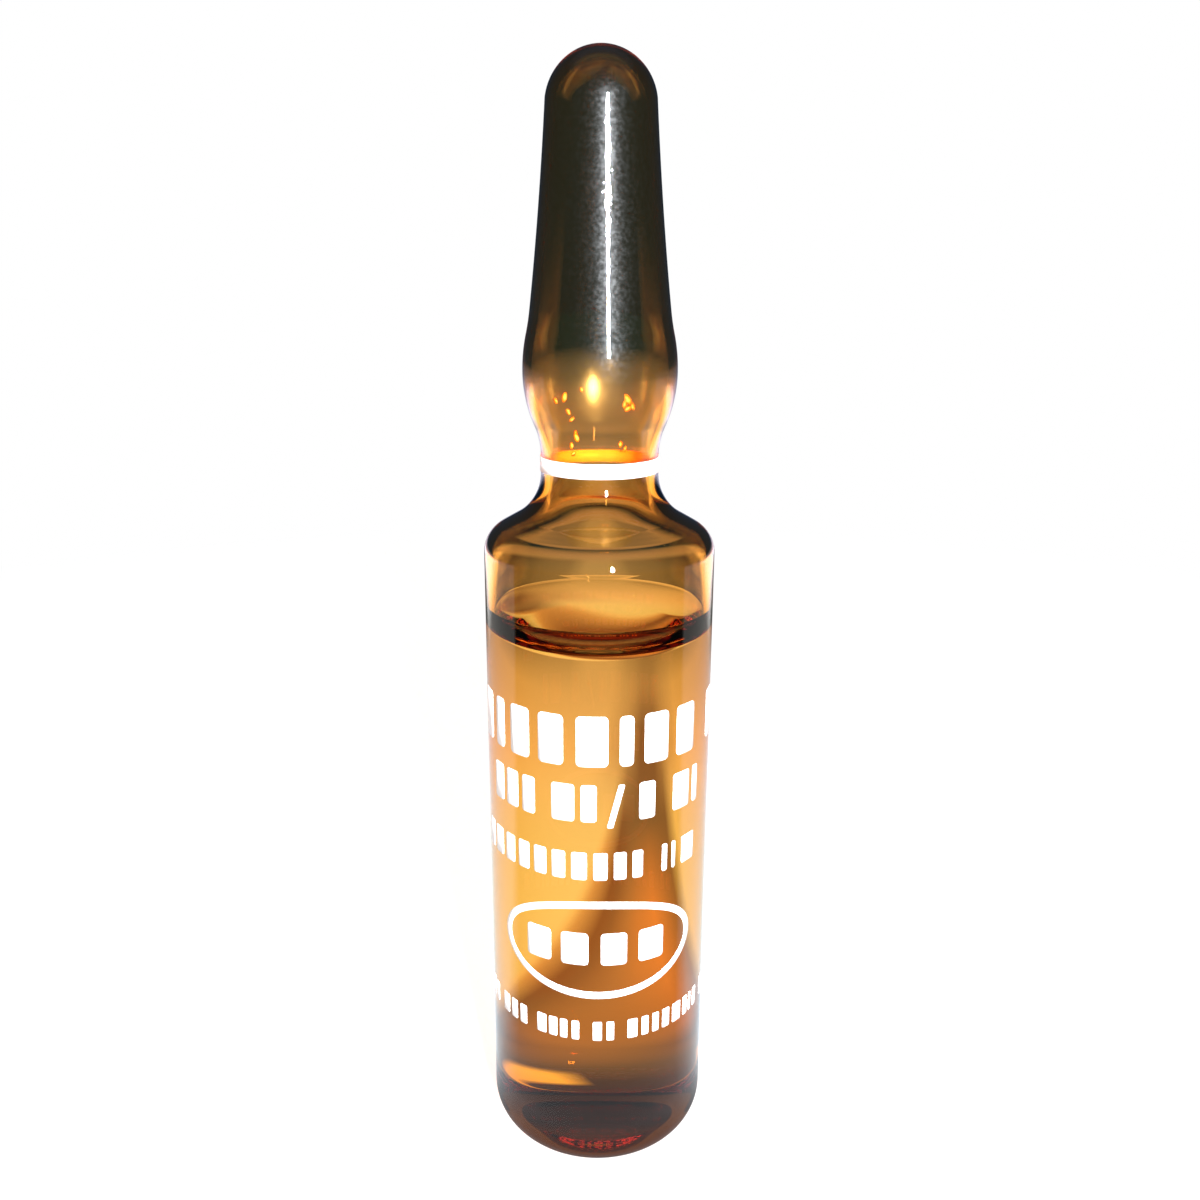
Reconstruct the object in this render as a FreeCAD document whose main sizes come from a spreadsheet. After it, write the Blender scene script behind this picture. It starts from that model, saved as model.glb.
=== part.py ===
import FreeCAD, Part
import math
import os
import re

import Sketcher
from FreeCAD import Vector

# Glass ampoule, 5 ml, sealed at the flame and filled.
# Millimetres, +Z up, origin on the standing plane at the centre of the base.
# The ampoule is one blown glass shell. Its outline is a chain of lines and arcs, turned about the Z axis,
# and its sealed cavity is the same chain, moved in by the wall. The liquid fills the cavity up to its
# meniscus, and a band of white enamel is fired onto the neck, where the stem is snapped off.

# Driving dimensions, in millimetres and degrees. Heights are the lengths of the zones, from the base up.
SIZES = {
    "body_diameter": 14.75,
    "wall": 0.55,
    "base_corner": 2.8,
    "base_thickness": 0.7,
    "standing_ring": 0.95,
    "dish_rise": 0.35,
    "body_length": 42.1,
    "shoulder_round": 1.95,
    "shoulder_pitch": 30.0,
    "throat_round": 3.2,
    "neck_diameter": 7.4,
    "bulb_foot_round": 4.4,
    "bulb_lower_round": 8.3,
    "bulb_diameter": 9.58,
    "bulb_upper_round": 10.5,
    "flare_round": 14.0,
    "flare_rise": 5.2,
    "stem_taper": 6.5,
    "stem_sweep": 220.0,
    "stem_length": 10.4,
    "dome_height": 2.86,
    "tip_thickness": 0.95,
    "headspace": 5.1,
    "meniscus_rise": 1.7,
    "meniscus_round": 2.3,
    "ring_width": 0.92,
    "ring_margin": 0.09,
    "enamel_thickness": 0.05,
    "enamel_edge": 0.02,
}

# Lengths that follow from the driving dimensions, as expressions. The shoulder's cone touches the shoulder
# arc and the throat arc, and its length is what both arcs leave of the step from the body to the neck. The
# straight neck is as long as the enamel ring with a margin above and below it.
DISH_RADIUS = "body_diameter / 2 - base_corner - standing_ring"
FILL_HEIGHT = "body_length - headspace"
NECK_LENGTH = "ring_width + 2 * ring_margin"
SHOULDER_ARCS = "(shoulder_round + throat_round)"
CONE_LENGTH = (f"((body_diameter - neck_diameter) / 2 - {SHOULDER_ARCS} * (1 - sin(shoulder_pitch)))"
               " / cos(shoulder_pitch)")
NECK_FOOT = f"body_length + {SHOULDER_ARCS} * cos(shoulder_pitch) + {CONE_LENGTH} * sin(shoulder_pitch)"

ORIGIN_POINT = (-1, 1)
VERTICAL_AXIS = -2
START, END, CENTRE = 1, 2, 3
FULL_TURN = 360.0
VOLUME_TOLERANCE = 1e-4

doc = FreeCAD.newDocument("glass_ampoule")


def make_sheet():
    """Put every driving dimension in the spreadsheet, with its name as its alias."""
    sheet = doc.addObject("Spreadsheet::Sheet", "sizes")
    for row, (name, number) in enumerate(SIZES.items(), start=1):
        sheet.set(f"A{row}", name)
        sheet.set(f"B{row}", str(number))
        sheet.setAlias(f"B{row}", name)
    doc.recompute()
    return sheet


sheet = make_sheet()


def size(name):
    """Read one driving dimension back from the spreadsheet."""
    return float(getattr(sheet, name))


def bound(text):
    """Turn an expression in plain names into one that reads the spreadsheet."""
    return re.sub("[a-z_]+", lambda word: f"sizes.{word[0]}" if word[0] in SIZES else word[0], text)


def value(text):
    """Work out such an expression."""
    return float(FreeCAD.Units.Quantity(sheet.evalExpression(bound(text))).Value)


class Chain:
    """A closed outline in a sketch on a body's XZ plane: lines and arcs, each joined to the last one."""

    def __init__(self, body, name):
        self.sketch = body.newObject("Sketcher::SketchObject", name)
        plane = next(item for item in body.Origin.OriginFeatures if item.Role == "XZ_Plane")
        self.sketch.AttachmentSupport = (plane, [""])
        self.sketch.MapMode = "FlatFace"
        self.pieces = []

    def constrain(self, *parts):
        return self.sketch.addConstraint(Sketcher.Constraint(*parts))

    def dimension(self, name, expression, *parts):
        """Add a named dimension and bind it to the spreadsheet."""
        number = value(expression)
        index = self.constrain(*parts, math.radians(number) if parts[0] == "Angle" else number)
        self.sketch.renameConstraint(index, name)
        self.sketch.setExpression(f"Constraints.{name}", bound(expression))

    def join(self, smooth):
        """Join the newest piece to the one before it, end to end."""
        if len(self.pieces) > 1:
            (last, _, last_exit), (new, new_entry, _) = self.pieces[-2:]
            kind = "Tangent" if smooth else "Coincident"
            self.constrain(kind, last, last_exit, new, new_entry)

    def line(self, start, end, smooth=True):
        geometry = Part.LineSegment(Vector(*start, 0), Vector(*end, 0))
        index = self.sketch.addGeometry(geometry, False)
        self.pieces.append((index, START, END))
        self.join(smooth)
        return index

    def arc(self, centre, radius, first, last, smooth=True):
        """Add an arc from angle first to angle last, in degrees; last may be the smaller one."""
        circle = Part.Circle(Vector(*centre, 0), Vector(0, 0, 1), radius)
        low, high = sorted((math.radians(first), math.radians(last)))
        index = self.sketch.addGeometry(Part.ArcOfCircle(circle, low, high), False)
        self.pieces.append((index, START, END) if last > first else (index, END, START))
        self.join(smooth)
        return index

    def close(self):
        """Join the last piece to the first one and solve the sketch."""
        (first, first_entry, _), (last, _, last_exit) = self.pieces[0], self.pieces[-1]
        self.constrain("Coincident", last, last_exit, first, first_entry)
        if self.sketch.solve() != 0 or self.sketch.RedundantConstraints:
            raise RuntimeError(f"{self.sketch.Name} does not solve")
        doc.recompute()
        if not self.sketch.FullyConstrained:
            raise RuntimeError(f"{self.sketch.Name} is not fully constrained")
        return self.sketch

    def entry(self, index):
        return next(piece[1] for piece in self.pieces if piece[0] == index)

    def exit(self, index):
        return next(piece[2] for piece in self.pieces if piece[0] == index)


def polar(centre, radius, angle):
    """The point at a distance and an angle from a centre."""
    turn = math.radians(angle)
    return (centre[0] + radius * math.cos(turn), centre[1] + radius * math.sin(turn))


def arc_through(edge_radius, rise):
    """The radius of an arc that is level on the axis and falls by rise out to edge_radius."""
    return (edge_radius ** 2 + rise ** 2) / (2.0 * rise)


def draw_floor(chain, inset, lift, wall_top):
    """Draw the dished floor, its corner and the straight wall; inset and lift are zero for the outside.

    The dish keeps the middle of the base clear of whatever it stands on.
    """
    wall_in, floor, top = value(inset), value(lift), value(wall_top)
    radius = size("body_diameter") / 2.0
    corner = size("base_corner")
    dish, rise = value(DISH_RADIUS), size("dish_rise")
    ball = arc_through(dish, rise)
    edge = math.degrees(math.acos(dish / ball))

    dish_arc = chain.arc((0.0, floor + rise - ball), ball, 90.0, edge)
    chain.constrain("PointOnObject", dish_arc, CENTRE, VERTICAL_AXIS)
    chain.constrain("PointOnObject", dish_arc, chain.entry(dish_arc), VERTICAL_AXIS)
    rim = (dish_arc, chain.exit(dish_arc))
    chain.dimension("floor_height", lift, "DistanceY", *ORIGIN_POINT, *rim)
    chain.dimension("dish_radius", DISH_RADIUS, "DistanceX", *ORIGIN_POINT, *rim)
    chain.dimension("dish_top", f"{lift} + dish_rise", "DistanceY", *ORIGIN_POINT, dish_arc,
                    chain.entry(dish_arc))

    flat = chain.line((dish, floor), (radius - corner, floor), smooth=False)
    chain.constrain("Horizontal", flat)
    centre = (radius - corner, floor + corner - wall_in)
    corner_arc = chain.arc(centre, corner - wall_in, -90.0, 0.0)
    chain.dimension("corner", f"base_corner - {inset}", "Radius", corner_arc)
    wall = chain.line((radius - wall_in, centre[1]), (radius - wall_in, top))
    chain.constrain("Vertical", wall)
    chain.dimension("wall_radius", f"body_diameter / 2 - {inset}", "DistanceX", *ORIGIN_POINT, wall, END)
    chain.dimension("wall_top", wall_top, "DistanceY", *ORIGIN_POINT, wall, END)


def draw_shoulder(chain, inset):
    """Draw the round shoulder, its cone, the throat and the straight neck, where the ring is seated."""
    wall_in = value(inset)
    shoulder, throat = size("shoulder_round"), size("throat_round")
    shoulder_centre = (size("body_diameter") / 2.0 - shoulder, size("body_length"))
    throat_centre = (size("neck_diameter") / 2.0 + throat, value(NECK_FOOT))
    square = 90.0 - size("shoulder_pitch")

    shoulder_arc = chain.arc(shoulder_centre, shoulder - wall_in, 0.0, square)
    chain.dimension("shoulder", f"shoulder_round - {inset}", "Radius", shoulder_arc)
    cone = chain.line(polar(shoulder_centre, shoulder - wall_in, square),
                      polar(throat_centre, throat + wall_in, square + 180.0))
    chain.dimension("cone_direction", "(180 - shoulder_pitch) * 1 deg", "Angle", cone)
    throat_arc = chain.arc(throat_centre, throat + wall_in, square + 180.0, 180.0)
    chain.dimension("throat", f"throat_round + {inset}", "Radius", throat_arc)

    neck_radius = size("neck_diameter") / 2.0 - wall_in
    neck_top = throat_centre[1] + value(NECK_LENGTH)
    neck = chain.line((neck_radius, throat_centre[1]), (neck_radius, neck_top))
    chain.dimension("neck_radius", f"neck_diameter / 2 - {inset}", "DistanceX", *ORIGIN_POINT, neck, END)
    chain.dimension("neck_length", NECK_LENGTH, "DistanceY", neck, START, neck, END)
    chain.constrain("Vertical", neck)


def draw_bulb_and_stem(chain, inset):
    """Draw the bulb, its flare and the swept stem; return the stem arc and the height of its end.

    Five arcs follow one another, each tangent to the last: the bulb's foot, its lower half, its upper half,
    the flare and the long sweep of the stem. All of them keep their centres when the wall moves them in.
    """
    wall_in = value(inset)
    foot, lower = size("bulb_foot_round"), size("bulb_lower_round")
    upper, flare, sweep = size("bulb_upper_round"), size("flare_round"), size("stem_sweep")
    bulb = size("bulb_diameter") / 2.0
    taper = size("stem_taper")

    foot_centre = (size("neck_diameter") / 2.0 + foot, value(f"{NECK_FOOT} + {NECK_LENGTH}"))
    across = (bulb - lower) - foot_centre[0]
    lean = math.degrees(math.acos(across / (foot + lower)))
    lower_centre = polar(foot_centre, foot + lower, lean)
    upper_centre = (bulb - upper, lower_centre[1])
    turn = math.degrees(math.asin(size("flare_rise") / (upper + flare)))
    flare_centre = polar(upper_centre, upper + flare, turn)
    sweep_centre = polar(flare_centre, sweep - flare, taper)
    stem_top = flare_centre[1] + size("stem_length")
    stem_end = 180.0 + math.degrees(math.asin((sweep_centre[1] - stem_top) / (sweep + wall_in)))

    foot_arc = chain.arc(foot_centre, foot + wall_in, 180.0, lean)
    chain.dimension("bulb_foot", f"bulb_foot_round + {inset}", "Radius", foot_arc)
    lower_arc = chain.arc(lower_centre, lower - wall_in, lean - 180.0, 0.0)
    chain.dimension("bulb_lower", f"bulb_lower_round - {inset}", "Radius", lower_arc)
    widest = (lower_arc, chain.exit(lower_arc))
    chain.dimension("bulb_radius", f"bulb_diameter / 2 - {inset}", "DistanceX", *ORIGIN_POINT, *widest)
    chain.constrain("Horizontal", lower_arc, CENTRE, *widest)
    upper_arc = chain.arc(upper_centre, upper - wall_in, 0.0, turn)
    chain.dimension("bulb_upper", f"bulb_upper_round - {inset}", "Radius", upper_arc)
    flare_arc = chain.arc(flare_centre, flare + wall_in, 180.0 + turn, 180.0 + taper)
    chain.dimension("flare", f"flare_round + {inset}", "Radius", flare_arc)
    chain.dimension("flare_rise", "flare_rise", "DistanceY", *widest, flare_arc, CENTRE)
    chain.dimension("taper_drop", f"(flare_round + {inset}) * sin(stem_taper)", "DistanceY",
                    flare_arc, chain.exit(flare_arc), flare_arc, CENTRE)
    stem_arc = chain.arc(sweep_centre, sweep + wall_in, 180.0 + taper, stem_end)
    chain.dimension("stem", f"stem_sweep + {inset}", "Radius", stem_arc)
    chain.dimension("stem_length", "stem_length", "DistanceY", flare_arc, CENTRE, stem_arc,
                    chain.exit(stem_arc))
    return stem_arc, polar(sweep_centre, sweep + wall_in, stem_end)


def draw_vessel(body, name, inset, lift, tip):
    """Draw the whole outline, from the middle of the base to the tip, and close it along the axis."""
    chain = Chain(body, name)
    draw_floor(chain, inset, lift, "body_length")
    draw_shoulder(chain, inset)
    stem_arc, stem_end = draw_bulb_and_stem(chain, inset)
    dome_height = value(f"dome_height - {tip}")
    ball = arc_through(stem_end[0], dome_height)
    top = stem_end[1] + dome_height
    first = math.degrees(math.atan2(ball - dome_height, stem_end[0]))
    dome = chain.arc((0.0, top - ball), ball, first, 90.0, smooth=False)
    chain.constrain("PointOnObject", dome, CENTRE, VERTICAL_AXIS)
    chain.constrain("PointOnObject", dome, chain.exit(dome), VERTICAL_AXIS)
    chain.dimension("dome_height", f"dome_height - {tip}", "DistanceY", stem_arc, chain.exit(stem_arc),
                    dome, chain.exit(dome))
    chain.line((0.0, top), (0.0, value(f"{lift} + dish_rise")), smooth=False)
    return chain.close()


def turned_volume(sketch):
    """The volume that a sketch sweeps in a full turn: its area times the path of its centroid."""
    face = Part.Face(sketch.Shape.Wires[0])
    reach = math.hypot(face.CenterOfMass.x, face.CenterOfMass.y)
    return 2.0 * math.pi * reach * face.Area


def turn_feature(body, kind, name, sketch):
    """Turn a sketch about its vertical axis, as a Revolution or as a Groove."""
    feature = body.newObject(kind, name)
    feature.Profile = sketch
    feature.ReferenceAxis = (sketch, ["V_Axis"])
    feature.Angle = FULL_TURN
    sketch.Visibility = False
    doc.recompute()
    return feature


def check_volume(shape, expected, what):
    if abs(shape.Volume - expected) > VOLUME_TOLERANCE * expected:
        raise RuntimeError(f"{what} has a volume of {shape.Volume:.3f}, not {expected:.3f}")


def new_body(name):
    body = doc.addObject("PartDesign::Body", name)
    body.Label = name
    return body


def make_glass_body():
    """The blown shell, with its cavity sealed in."""
    body = new_body("glass_body")
    outside = draw_vessel(body, "outside_outline", "0", "0", "0")
    turn_feature(body, "PartDesign::Revolution", "blown_form", outside)
    cavity = draw_vessel(body, "cavity_outline", "wall", "base_thickness", "tip_thickness")
    turn_feature(body, "PartDesign::Groove", "cavity", cavity)
    check_volume(body.Shape, turned_volume(outside) - turned_volume(cavity), "glass_body")
    return body


def make_solution():
    """The liquid: the lower part of the cavity, up to a surface that climbs the glass at its edge."""
    body = new_body("solution")
    chain = Chain(body, "liquid_outline")
    draw_floor(chain, "wall", "base_thickness", f"{FILL_HEIGHT} + meniscus_rise")
    level, rise, curve = value(FILL_HEIGHT), size("meniscus_rise"), size("meniscus_round")
    wall_radius = size("body_diameter") / 2.0 - size("wall")
    reach = math.sqrt(2.0 * curve * rise - rise ** 2)
    contact_angle = math.degrees(math.asin((rise - curve) / curve))
    edge = chain.arc((wall_radius - reach, level + curve), curve, contact_angle, -90.0, smooth=False)
    chain.dimension("meniscus", "meniscus_round", "Radius", edge)
    surface = chain.line((wall_radius - reach, level), (0.0, level))
    chain.constrain("Horizontal", surface)
    chain.constrain("PointOnObject", surface, END, VERTICAL_AXIS)
    chain.dimension("fill_height", FILL_HEIGHT, "DistanceY", *ORIGIN_POINT, surface, END)
    chain.line((0.0, level), (0.0, value("base_thickness + dish_rise")), smooth=False)
    outline = chain.close()
    turn_feature(body, "PartDesign::Revolution", "liquid", outline)
    check_volume(body.Shape, turned_volume(outline), "solution")
    return body


def make_break_ring():
    """The fired enamel band, in the middle of the straight neck, with its outer edges rounded."""
    body = new_body("break_ring")
    chain = Chain(body, "band_outline")
    inner = size("neck_diameter") / 2.0
    outer, edge = inner + size("enamel_thickness"), size("enamel_edge")
    low = value(f"{NECK_FOOT} + ring_margin")
    high = low + size("ring_width")
    foot = chain.line((inner, low), (outer - edge, low))
    lower_edge = chain.arc((outer - edge, low + edge), edge, -90.0, 0.0)
    face = chain.line((outer, low + edge), (outer, high - edge))
    upper_edge = chain.arc((outer - edge, high - edge), edge, 0.0, 90.0)
    head = chain.line((outer - edge, high), (inner, high))
    seat = chain.line((inner, high), (inner, low), smooth=False)
    for level_line in (foot, head):
        chain.constrain("Horizontal", level_line)
    for upright in (face, seat):
        chain.constrain("Vertical", upright)
    chain.dimension("edge_radius", "enamel_edge", "Radius", lower_edge)
    chain.constrain("Equal", lower_edge, upper_edge)
    chain.dimension("seat_radius", "neck_diameter / 2", "DistanceX", *ORIGIN_POINT, seat, END)
    chain.dimension("enamel", "enamel_thickness", "DistanceX", seat, END, face, START)
    chain.dimension("ring_width", "ring_width", "DistanceY", seat, END, seat, START)
    chain.dimension("ring_foot", f"{NECK_FOOT} + ring_margin", "DistanceY", *ORIGIN_POINT, seat, END)
    outline = chain.close()
    turn_feature(body, "PartDesign::Revolution", "band", outline)
    check_volume(body.Shape, turned_volume(outline), "break_ring")
    return body


def check_and_write(bodies):
    """Stop on any failed object or bad shape, and only then write the STEP files."""
    doc.recompute()
    for item in doc.Objects:
        if "Invalid" in item.State or "Error" in item.State:
            raise RuntimeError(f"{item.Name} failed: {item.State}")
    for body in bodies:
        shape = body.Shape
        if shape.isNull() or not shape.isValid() or len(shape.Solids) != 1:
            raise RuntimeError(f"{body.Label} has a bad shape")
    os.makedirs("parts", exist_ok=True)
    for body in bodies:
        body.Placement = FreeCAD.Placement()
        body.Shape.exportStep(f"parts/{body.Label}.step")
        box = body.Shape.optimalBoundingBox()
        print(f"{body.Label}: volume {body.Shape.Volume:.2f} mm3, z {box.ZMin:.3f} to {box.ZMax:.3f}, "
              f"across {box.XLength:.3f}")


check_and_write([make_glass_body(), make_solution(), make_break_ring()])
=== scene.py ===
"""A sealed amber glass ampoule of clear injection liquid, standing on a pale table."""

import math

import bpy
import numpy as np
from bpy.props import FloatProperty, FloatVectorProperty, IntProperty, PointerProperty
from mathutils import Matrix, Vector


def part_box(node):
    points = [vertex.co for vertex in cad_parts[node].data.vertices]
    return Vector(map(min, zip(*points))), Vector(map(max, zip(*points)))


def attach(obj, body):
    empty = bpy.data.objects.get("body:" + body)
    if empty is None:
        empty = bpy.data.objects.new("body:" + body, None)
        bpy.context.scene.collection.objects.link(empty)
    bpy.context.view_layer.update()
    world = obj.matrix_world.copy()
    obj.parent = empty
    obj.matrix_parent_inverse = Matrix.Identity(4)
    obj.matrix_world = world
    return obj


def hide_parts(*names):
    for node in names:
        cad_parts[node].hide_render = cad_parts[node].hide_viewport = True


bl_info = {
    "name": "Glass Ampoule",
    "version": (1, 0, 0),
    "blender": (4, 5, 0),
    "location": "View3D > Sidebar > Ampoule",
    "description": "Builds a filled amber glass ampoule around its packed CAD frame",
    "category": "Add Mesh",
}

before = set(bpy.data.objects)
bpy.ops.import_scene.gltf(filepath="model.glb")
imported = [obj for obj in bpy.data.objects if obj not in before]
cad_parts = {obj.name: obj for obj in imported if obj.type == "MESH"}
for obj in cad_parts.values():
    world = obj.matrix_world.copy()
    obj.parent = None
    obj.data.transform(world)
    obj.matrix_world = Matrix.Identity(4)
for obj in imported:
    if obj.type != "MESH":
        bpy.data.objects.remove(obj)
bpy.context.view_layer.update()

MM = 0.001

# The frame's own sizes, in metres, which the defaults below come from
GLASS_LOW, GLASS_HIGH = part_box("glass_body")
LIQUID_LOW, LIQUID_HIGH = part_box("solution")
RING_LOW, RING_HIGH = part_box("break_ring")
BODY_RADIUS = GLASS_HIGH[0]
CAVITY_RADIUS = LIQUID_HIGH[0]
ENAMEL_THICKNESS = 0.05 * MM

# How far one surface runs into the next, so that they leave no gap
OVERLAP = 0.01 * MM
# The step in height over which the cavity's wall turns from wet to dry
WET_EDGE = 0.005 * MM
# How far up and down the wall the gather of glass at the shoulder spreads
GATHER_REACH = 1.6 * MM


class AmpouleGlass(bpy.types.PropertyGroup):
    """The blown glass shell."""

    body_radius: FloatProperty(
        name="Body Radius", description="Outer radius of the straight body",
        default=BODY_RADIUS, min=1 * MM, unit="LENGTH")
    wall: FloatProperty(
        name="Wall", description="Thickness of the drawn glass wall",
        default=BODY_RADIUS - CAVITY_RADIUS, min=0.1 * MM, unit="LENGTH")
    base_corner: FloatProperty(
        name="Base Corner", description="Radius of the corner between the base and the wall",
        default=2.8 * MM, unit="LENGTH")
    base_thickness: FloatProperty(
        name="Base Thickness", description="Thickness of the glass under the liquid",
        default=LIQUID_LOW[2], unit="LENGTH")
    standing_ring: FloatProperty(
        name="Standing Ring", description="Width of the flat ring that the ampoule stands on",
        default=0.95 * MM, unit="LENGTH")
    dish_rise: FloatProperty(
        name="Dish Rise", description="How far the middle of the base is dished upwards",
        default=0.35 * MM, unit="LENGTH")
    body_length: FloatProperty(
        name="Body Length", description="Height of the top of the straight body",
        default=42.1 * MM, unit="LENGTH")
    shoulder_round: FloatProperty(
        name="Shoulder Round", description="Radius of the shoulder",
        default=1.95 * MM, unit="LENGTH")
    shoulder_pitch: FloatProperty(
        name="Shoulder Pitch", description="Slope of the cone between the shoulder and the neck",
        default=math.radians(30.0), subtype="ANGLE", unit="ROTATION")
    throat_round: FloatProperty(
        name="Throat Round", description="Radius of the hollow under the neck",
        default=3.2 * MM, unit="LENGTH")
    neck_radius: FloatProperty(
        name="Neck Radius", description="Outer radius of the straight neck under the enamel ring",
        default=RING_HIGH[0] - ENAMEL_THICKNESS, unit="LENGTH")
    bulb_foot_round: FloatProperty(
        name="Bulb Foot Round", description="Radius of the hollow above the neck",
        default=4.4 * MM, unit="LENGTH")
    bulb_lower_round: FloatProperty(
        name="Bulb Lower Round", description="Radius of the bulb below its widest place",
        default=8.3 * MM, unit="LENGTH")
    bulb_radius: FloatProperty(
        name="Bulb Radius", description="Outer radius of the bulb at its widest place",
        default=4.79 * MM, unit="LENGTH")
    bulb_upper_round: FloatProperty(
        name="Bulb Upper Round", description="Radius of the bulb above its widest place",
        default=10.5 * MM, unit="LENGTH")
    flare_round: FloatProperty(
        name="Flare Round", description="Radius of the hollow between the bulb and the stem",
        default=14.0 * MM, unit="LENGTH")
    flare_rise: FloatProperty(
        name="Flare Rise", description="Height of the flare's centre above the bulb's widest place",
        default=5.2 * MM, unit="LENGTH")
    stem_taper: FloatProperty(
        name="Stem Taper", description="Lean of the wall where the flare becomes the stem",
        default=math.radians(6.5), subtype="ANGLE", unit="ROTATION")
    stem_sweep: FloatProperty(
        name="Stem Sweep", description="Radius of the long hollow curve of the stem",
        default=220.0 * MM, unit="LENGTH")
    stem_length: FloatProperty(
        name="Stem Length", description="Height of the stem's end above the flare's centre",
        default=10.4 * MM, unit="LENGTH")
    dome_height: FloatProperty(
        name="Dome Height", description="Height of the sealed dome above the stem",
        default=2.86 * MM, unit="LENGTH")
    tip_thickness: FloatProperty(
        name="Tip Thickness", description="Thickness of the glass that the flame gathered at the tip",
        default=0.65 * MM, unit="LENGTH")
    shoulder_gather: FloatProperty(
        name="Shoulder Gather", description="How much thicker the wall is where the shoulder was drawn in",
        default=0.22 * MM, unit="LENGTH")
    around: IntProperty(
        name="Steps Around", description="Steps of the turned surfaces round the axis",
        default=240, min=12)


class AmpouleLiquid(bpy.types.PropertyGroup):
    """The liquid sealed in the body."""

    meniscus_reach: FloatProperty(
        name="Meniscus Reach", description="Capillary length: how far from the wall the surface is curved",
        default=2.7 * MM, unit="LENGTH")
    meniscus_rise: FloatProperty(
        name="Meniscus Rise", description="How far the surface climbs in its long curve towards the wall",
        default=2.0 * MM, unit="LENGTH")
    edge_round: FloatProperty(
        name="Edge Round", description="Radius of the steep curve at the wall itself",
        default=1.2 * MM, unit="LENGTH")
    edge_rise: FloatProperty(
        name="Edge Rise", description="How much further the liquid climbs in that steep curve",
        default=1.0 * MM, unit="LENGTH")
    contact_height: FloatProperty(
        name="Contact Height", description="Height at which the liquid meets the wall",
        default=LIQUID_HIGH[2], unit="LENGTH")


class AmpoulePrint(bpy.types.PropertyGroup):
    """The white enamel that is fired onto the glass."""

    film: FloatProperty(
        name="Film", description="Thickness of the printed enamel film",
        default=0.03 * MM, unit="LENGTH")
    enamel: FloatVectorProperty(
        name="Enamel", description="Colour of the fired white enamel",
        default=(0.94, 0.93, 0.91, 1.0), size=4, min=0.0, max=1.0, subtype="COLOR")


class AmpouleStage(bpy.types.PropertyGroup):
    """The camera."""

    camera_distance: FloatProperty(
        name="Camera Distance", description="Distance of the camera from the ampoule's axis",
        default=73.5 * MM, unit="LENGTH")
    camera_height: FloatProperty(
        name="Camera Height", description="Height of the camera above the table",
        default=59.5 * MM, unit="LENGTH")
    camera_tilt: FloatProperty(
        name="Camera Tilt", description="How far the camera looks down",
        default=math.radians(15.93), subtype="ANGLE", unit="ROTATION")
    camera_roll: FloatProperty(
        name="Camera Roll", description="How far the camera leans",
        default=math.radians(0.24), subtype="ANGLE", unit="ROTATION")
    lens: FloatProperty(
        name="Lens", description="Focal length of the camera, in millimetres",
        default=35.19, subtype="DISTANCE_CAMERA")


# Shapes

def arc(centre, radius, first, last, steps):
    """Points of a circle: centre + radius * (cos a, sin a), at even angles a from first to last."""
    turn = np.linspace(first, last, steps + 1)
    return np.column_stack((centre[0] + radius * np.cos(turn), centre[1] + radius * np.sin(turn)))


def on_circle(centre, radius, angle):
    """The point of a circle at one angle."""
    return arc(centre, radius, angle, angle, 0)[0]


def run(start, end, steps):
    """Even points of a straight line from start to end."""
    return np.linspace(start, end, steps + 1)


def cap_radius(edge_radius, rise):
    """Radius of a cap that falls by rise from its middle to its edge: (edge ** 2 + rise ** 2) / 2 rise."""
    return (edge_radius ** 2 + rise ** 2) / (2.0 * rise)


def without_repeats(points):
    """The points with each one dropped that repeats the one before it."""
    steps = np.linalg.norm(np.diff(points, axis=0), axis=1)
    return points[np.concatenate(([True], steps > 1e-8))]


def floor_outline(glass, inset, lift):
    """The dished base and its corner, as (radius, height) from the axis out to the wall."""
    dish = glass.body_radius - glass.base_corner - glass.standing_ring
    ball = cap_radius(dish, glass.dish_rise)
    edge = math.acos(dish / ball)
    corner = glass.base_corner - inset
    centre = (glass.body_radius - glass.base_corner, lift + corner)
    return np.vstack((
        arc((0.0, lift + glass.dish_rise - ball), ball, math.pi / 2, edge, 10),
        run((dish, lift), (centre[0], lift), 3),
        arc(centre, corner, -math.pi / 2, 0.0, 20)))


def neck_foot(glass):
    """Height at which the throat becomes the straight neck."""
    arcs = glass.shoulder_round + glass.throat_round
    step = glass.body_radius - glass.neck_radius
    cone = (step - arcs * (1.0 - math.sin(glass.shoulder_pitch))) / math.cos(glass.shoulder_pitch)
    return glass.body_length + arcs * math.cos(glass.shoulder_pitch) + cone * math.sin(glass.shoulder_pitch)


def neck_head(glass):
    """Height at which the straight neck ends: the ring has equal margins below and above."""
    return neck_foot(glass) + (RING_HIGH[2] - RING_LOW[2]) + 2 * (RING_LOW[2] - neck_foot(glass))


def shoulder_outline(glass, inset):
    """The round shoulder, its cone and the throat, as tangent arcs."""
    square = math.pi / 2 - glass.shoulder_pitch
    shoulder = arc((glass.body_radius - glass.shoulder_round, glass.body_length),
                   glass.shoulder_round - inset, 0.0, square, 14)
    throat = arc((glass.neck_radius + glass.throat_round, neck_foot(glass)),
                 glass.throat_round + inset, math.pi + square, math.pi, 16)
    return np.vstack((shoulder, run(shoulder[-1], throat[0], 3), throat))


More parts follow.
